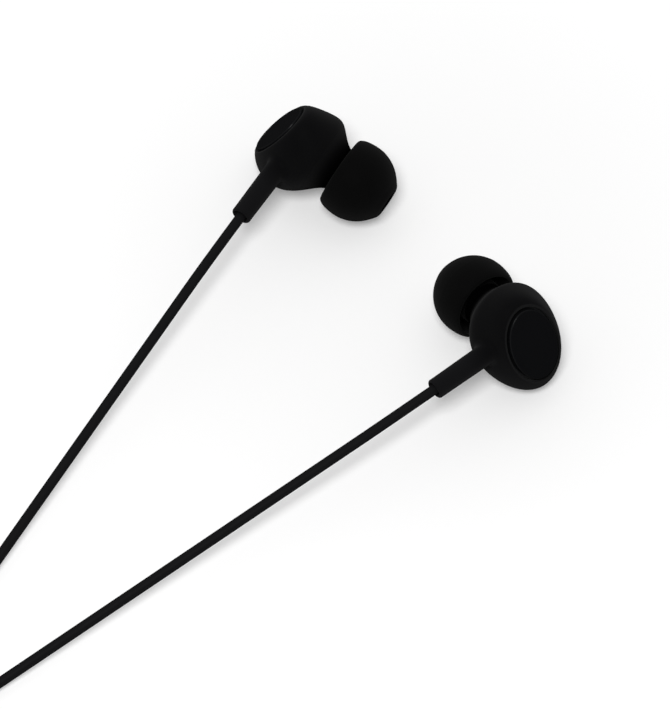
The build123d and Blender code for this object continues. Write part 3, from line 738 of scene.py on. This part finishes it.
class EARPHONES_OT_cables(bpy.types.Operator):
    """Lay the two branch cables and the trunk cable, each on one smooth line"""

    bl_idname = "earphones.cables"
    bl_label = "Cables"

    def wound(self, coil, stations, per_turn):
        """Points of a winding, clockwise from its front: stations are (degrees, radius, height).

        The turns lie on polygons about the coil's circles, because the smooth line cuts inside
        its control points.
        """
        reach = 1 / cos(pi / per_turn)
        points = []
        for start, end in zip(stations, stations[1:]):
            (turn, radius, height), (to_turn, to_radius, to_height) = start, end
            steps = max(1, round((to_turn - turn) * per_turn / 360))
            for step in range(steps):
                share = step / steps
                at = turn + (to_turn - turn) * share
                wide = (radius + (to_radius - radius) * eased(share)) * reach
                high = height + (to_height - height) * eased(share)
                away = ((at - coil.tie_at + 180) % 360 - 180) / TIE_SPREAD
                high += TIE_LIFT * exp(-away * away)
                angle = radians(-90 - at)
                x, y = coil.centre[0] + wide * cos(angle), coil.centre[1] + wide * sin(angle)
                points.append((x, y, high))
        return points

    def left_route(self, per_turn):
        """The left cable: stem, coil, splitter."""
        slots, low, high = BRANCH_COIL.slots, BRANCH_COIL.low, BRANCH_COIL.high
        route = [(-16.869, 17.923, 9.397), (-27.227, 1.283, 9.397), (-37.66, -15.16, 7.14)]
        route += [(-56.95, -45.54, 2.97), (-67.0, -61.4, low), (-78.3, -76.5, low)]
        turns = [(-57, slots[0], low), (-10, slots[1], low), (240, slots[1], low)]
        turns += [(300, slots[3], low), (600, slots[3], low), (660, slots[4], low)]
        turns += [(900, slots[4], low), (960, slots[4], high), (1020, slots[3], high)]
        turns += [(1200, slots[3], high), (1260, slots[1], high), (1530, slots[1], high)]
        route += self.wound(BRANCH_COIL, turns, per_turn)[1:]
        return route + [(-99.65, -69.6, high), (-99.65, -53.0, high)]

    def right_route(self, per_turn):
        """The right cable: stem, coil between the left one's turns, splitter."""
        slots, low, high = BRANCH_COIL.slots, BRANCH_COIL.low, BRANCH_COIL.high
        route = [(16.377, -16.726, 9.397), (1.145, -29.061, 9.397), (-15.0, -40.5, 7.37)]
        route += [(-58.1, -71.06, 1.94), (-67.2, -77.5, low), (-76.8, -83.3, low)]
        route += [(-88.8, -82.2, low)]
        turns = [(0, slots[0], low), (240, slots[0], low), (300, slots[2], low)]
        turns += [(540, slots[2], low), (600, slots[2], high), (840, slots[2], high)]
        turns += [(900, slots[0], high), (1170, slots[0], high)]
        route += self.wound(BRANCH_COIL, turns, per_turn)[1:]
        return route + [(-101.55, -69.6, high), (-101.55, -53.0, high)]

    def trunk_route(self, per_turn):
        """The trunk cable: splitter, inward on the floor, outward on top of itself, plug."""
        slots, low, high = TRUNK_COIL.slots, TRUNK_COIL.low, TRUNK_COIL.high
        route = [(-100.6, -41.0, 2.4), (-100.6, -33.0, 2.4), (-100.6, -26.0, low)]
        turns = [(90, slots[0], low)]
        for count, inner in enumerate(slots[1:]):
            turns += [(390 + 360 * count, slots[count], low), (450 + 360 * count, inner, low)]
        turns += [(1770, slots[4], low), (1830, slots[4], high)]
        for count, outer in enumerate(reversed(slots[:4])):
            start = 2070 + 360 * count
            turns += [(start, slots[4 - count], high), (start + 60, outer, high)]
        turns += [(3330, slots[0], high)]
        route += self.wound(TRUNK_COIL, turns, per_turn)
        route += [(-100.6, -21.0, high), (-100.6, -15.0, high), (-100.6, -8.0, 3.75)]
        return route + [(-100.6, 11.0, 3.75)]

    def lay(self, name, route, diameter, material):
        """A cord whose smooth line has these points, in millimetres, as its control points."""
        curve = bpy.data.curves.new(name, "CURVE")
        curve.dimensions = "3D"
        spline = curve.splines.new("NURBS")
        spline.points.add(len(route) - 1)
        for control, point in zip(spline.points, route):
            control.co = (*(value * MM for value in point), 1.0)
        spline.order_u = 3
        spline.use_endpoint_u = True
        spline.resolution_u = 8
        curve.resolution_u = 8
        curve.bevel_depth = diameter / 2
        curve.bevel_resolution = 6
        curve.use_fill_caps = True
        return finish_piece(placed(name, curve), material, "set")

    def execute(self, context):
        sizes = context.scene.earphone_cables
        per_turn = sizes.points_per_turn
        jacket = rubber(
            "cable_jacket", context.scene.earphone_colours.cable, roughness=0.42,
            depth=0.012 * MM, gloss=0.002, velvet=0.01,
        )
        routes = {"left": self.left_route(per_turn), "right": self.right_route(per_turn)}
        for side, route in routes.items():
            cord = self.lay(f"{side}_cable", route, sizes.branch, jacket)
            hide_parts(f"{side}_cable_lead", f"{side}_cable_tail", "branch_coil")
        cord = self.lay("trunk_cable", self.trunk_route(per_turn), sizes.trunk, jacket)
        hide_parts("trunk_cable_start", "trunk_coil", "trunk_cable_end")
        return {"FINISHED"}


class EARPHONES_OT_ties(bpy.types.Operator):
    """Close a strap round each coil"""

    bl_idname = "earphones.ties"
    bl_label = "Coil Ties"

    def strap(self, name, coil, sizes, material):
        """A ribbon round the section of a coil, with its end lapped over the top."""
        angle = radians(-90 - coil.tie_at)
        out = Vector((cos(angle), sin(angle), 0))
        along = Vector((-sin(angle), cos(angle), 0))
        up = Vector((0, 0, 1))
        middle = Vector((*coil.centre, 0)) * MM
        thick = sizes.tie_thickness
        half_width, half_height = (coil.tie_to - coil.tie_from) / 2 * MM, coil.tie_top / 2 * MM
        bend = 0.9 * MM
        squareness = 1.45
        columns = (-0.5, -0.25, 0.0, 0.25, 0.5)
        rounded_end = (0.97, 0.86, 0.6, 0.2)
        steps, laps, start = 84, 1.28, 0.3
        lap_from, lap_over = 0.86, 0.12
        corners, faces = [], []
        for step in range(steps + 1):
            gone = laps * step / steps
            # Just outside the coil's section, and a thickness more where it laps over itself
            lapped = eased(within((gone - lap_from) / lap_over, 0.0, 1.0))
            lift = thick * (0.55 + 1.1 * lapped)
            around = 2 * pi * (gone + start)
            wide, high = half_width + lift - bend, half_height + lift - bend
            across = within(squareness * cos(around), -1.0, 1.0) * wide
            rise = within(squareness * sin(around), -1.0, 1.0) * high
            reach = (coil.tie_from + coil.tie_to) / 2 * MM + across + bend * cos(around)
            # Its underside stays just above the floor
            height = max(thick * 0.6, half_height + thick + rise + bend * sin(around))
            spot = middle + out * reach + up * height
            to_end = step - steps + len(rounded_end) - 1
            taper = 1.0 if to_end < 0 else rounded_end[to_end]
            corners += [spot + along * column * sizes.tie_width * taper for column in columns]
            if step:
                row = len(columns)
                for first in range((step - 1) * row, step * row - 1):
                    faces.append((first, first + 1, first + row + 1, first + row))
        tie = placed(name, smooth_mesh(name, corners, faces))
        solid = tie.modifiers.new("Thickness", "SOLIDIFY")
        solid.thickness = thick
        solid.offset = 0.0
        edge = tie.modifiers.new("Soft Edge", "BEVEL")
        edge.width = thick * 0.3
        edge.segments = 2
        edge.limit_method = "ANGLE"
        return finish_piece(tie, material, "set")

    def execute(self, context):
        sizes = context.scene.earphone_cables
        weave = webbing("strap_webbing", context.scene.earphone_colours.strap)
        self.strap("branch_coil_tie", BRANCH_COIL, sizes, weave)
        self.strap("trunk_coil_tie", TRUNK_COIL, sizes, weave)
        return {"FINISHED"}


class EARPHONES_OT_fittings(bpy.types.Operator):
    bl_idname = "earphones.fittings"
    bl_label = "Splitter and Plug"

    def execute(self, context):
        colours = context.scene.earphone_colours
        splitter = ["splitter_top_shell", "splitter_bottom_shell"]
        contacts = ["plug_sleeve", "plug_ring", "plug_tip"]
        bands = ["plug_rear_insulator", "plug_front_insulator"]

        sleeve = rubber("soft_sleeve", colours.sleeve, roughness=0.55, depth=0.015 * MM)
        dress(both("cable_grommet"), sleeve)
        boot = rubber("boot_rubber", colours.sleeve, roughness=0.5, depth=0.012 * MM)
        dress(["plug_boot"], boot)
        skin = {"grain": 0.1 * MM, "depth": 0.015 * MM, "velvet": 0.02}
        dress(splitter, moulded("splitter_shell", colours.housing, roughness=0.46, **skin))
        handle = moulded("handle_shell", colours.housing, roughness=0.4, gloss=0.003, **skin)
        dress(["plug_handle"], handle)
        core = moulded(
            "moulded_core", (0.03, 0.03, 0.03), roughness=0.55, grain=0.15 * MM, depth=0.01 * MM
        )
        dress(["plug_core"], core)
        gold = metal("gold_plating", colours.gold, roughness=0.16, stretch=(1.0, 12.0, 1.0))
        dress(contacts, gold)
        band = moulded(
            "insulating_band", (0.012, 0.012, 0.012), roughness=0.35, grain=0.1 * MM,
            depth=0.006 * MM,
        )
        dress(bands, band)

        for side, mouth in MOUTHS.items():
            on_cord = [frame["nodes"][name] for name in splitter]
            on_cord.append(bpy.data.objects["branch_coil_tie"])
        on_cord = [frame["nodes"][name] for name in ["plug_boot", "plug_handle", "plug_core"]]
        on_cord += [frame["nodes"][name] for name in contacts + bands]
        on_cord.append(bpy.data.objects["trunk_coil_tie"])
        return {"FINISHED"}


class EARPHONES_OT_stage(bpy.types.Operator):
    """Set the floor, the light and the camera"""

    bl_idname = "earphones.stage"
    bl_label = "Studio"

    def rays(self, f):
        """1 for rays that show the background: seen directly, mirrored or let through."""
        seen = f.node("LightPath")
        outputs = seen.socket.node.outputs
        shown = Wire(f, outputs["Is Camera Ray"])
        for name in ("Is Glossy Ray", "Is Transmission Ray"):
            shown = shown.math("MAXIMUM", shown, Wire(f, outputs[name]))
        return shown

    def surround(self, studio):
        """A world that shows as plain white and gives more light from behind the set."""
        world = bpy.data.worlds.new("studio")
        world.use_nodes = True
        f = Finish(world.node_tree)
        sky = studio.sky * (1 + f.measure("DOT_PRODUCT", (0.0, 1.0, 0.0)))
        shown = self.rays(f)
        strength = sky * (1 - shown) + shown
        light = f.node("Background", None, {"Color": WHITE, "Strength": strength})
        f.node("OutputWorld", None, {"Surface": light})
        return world

    def floor(self, studio):
        """Matt paper, lifted towards white for the rays that show it."""
        ends = (-FLOOR_HALF, FLOOR_HALF)
        corners = [(x, y, -FLOOR_DROP) for y in ends for x in ends]
        floor = placed("floor", smooth_mesh("floor", corners, [(0, 1, 3, 2)]))
        material, f = new_finish("paper_floor")
        fibres = f.noise(0.6 * MM, 3.0)
        fleck = 0.01
        colour = f.tint(fibres, (studio.paper - fleck,) * 3, (studio.paper + fleck,) * 3)
        inputs = {"Base Color": colour, "Roughness": 0.9, "Specular IOR Level": 0.0}
        matt = f.node("BsdfPrincipled", None, inputs)
        # Painted light: the floor glows whiter with distance from the set, which lightens the
        # shadows far from it
        away = f.measure("DISTANCE", PAINTED_LIGHT_CENTRE)
        painted_floor_light = f.step(away, *PAINTED_LIGHT_BAND, 0.0, PAINTED_LIGHT_LIFT)
        inputs = {"Color": WHITE, "Strength": self.rays(f) * (painted_floor_light + studio.glow)}
        glow = f.node("Emission", None, inputs)
        paper = f.node("AddShader", None, {0: matt, 1: glow})
        f.node("OutputMaterial", None, {"Surface": paper})
        floor.data.materials.append(material)
        return floor

    def softbox(self, studio):
        """A round lamp. With the sky it lights the floor as an even white surround would."""
        towards = Vector(LAMP_DIRECTION).normalized()
        far = studio.lamp_distance
        lamp = bpy.data.lights.new("softbox", "AREA")
        lamp.shape = "DISK"
        lamp.size = 2 * far * tan(studio.lamp_spread)
        lamp.energy = pi**2 * far**2 * (1 - studio.sky) / towards.z
        softbox = placed("softbox", lamp)
        softbox.location = Vector(studio.aim) + towards * far
        softbox.rotation_mode = "QUATERNION"
        softbox.rotation_quaternion = towards.to_track_quat("Z", "Y")

    def camera(self, studio):
        """A long lens that looks down at the set from its front."""
        camera = bpy.data.cameras.new("camera")
        camera.sensor_width = 36.0
        camera.lens = studio.lens
        camera.clip_start, camera.clip_end = 0.05, 20.0
        back = Vector((0, -cos(studio.elevation), sin(studio.elevation)))
        view = placed("camera", camera)
        view.location = Vector(studio.aim) + back * studio.distance
        view.rotation_mode = "QUATERNION"
        view.rotation_quaternion = (-back).to_track_quat("-Z", "Y")
        return view

    def execute(self, context):
        scene = context.scene
        studio = scene.earphone_studio
        scene.view_settings.view_transform = "Standard"
        scene.world = self.surround(studio)
        floor = self.floor(studio)
        self.softbox(studio)
        scene.camera = self.camera(studio)
        return {"FINISHED"}


class EARPHONES_PT_panel(bpy.types.Panel):
    """Lists the pieces and their sizes"""

    bl_label = "Wired Earphones"
    bl_idname = "EARPHONES_PT_panel"
    bl_space_type = "VIEW_3D"
    bl_region_type = "UI"
    bl_category = "Earphones"

    def draw(self, context):
        for name, _ in GROUPS:
            box = self.layout.box()
            group = getattr(context.scene, name)
            for prop in group.bl_rna.properties.keys():
                if prop not in ("rna_type", "name"):
                    box.prop(group, prop)
        for operator in OPERATORS:
            self.layout.operator(operator.bl_idname)


GROUPS = (
    ("earphone_tips", TipSizes),
    ("earphone_cables", CableSizes),
    ("earphone_colours", Colours),
    ("earphone_studio", Studio),
)
OPERATORS = (
    EARPHONES_OT_housings,
    EARPHONES_OT_ear_tips,
    EARPHONES_OT_drivers,
    EARPHONES_OT_cables,
    EARPHONES_OT_ties,
    EARPHONES_OT_fittings,
    EARPHONES_OT_stage,
)


def register():
    for name, group in GROUPS:
        bpy.utils.register_class(group)
        setattr(bpy.types.Scene, name, PointerProperty(type=group))
    for shown in (*OPERATORS, EARPHONES_PT_panel):
        bpy.utils.register_class(shown)


def unregister():
    for shown in (EARPHONES_PT_panel, *reversed(OPERATORS)):
        bpy.utils.unregister_class(shown)
    for name, group in reversed(GROUPS):
        delattr(bpy.types.Scene, name)
        bpy.utils.unregister_class(group)


def main():
    register()
    bpy.ops.earphones.housings()
    bpy.ops.earphones.ear_tips()
    bpy.ops.earphones.drivers()
    bpy.ops.earphones.cables()
    bpy.ops.earphones.ties()
    bpy.ops.earphones.fittings()
    bpy.ops.earphones.stage()
    bpy.context.view_layer.update()


if __name__ == "__main__":
    main()
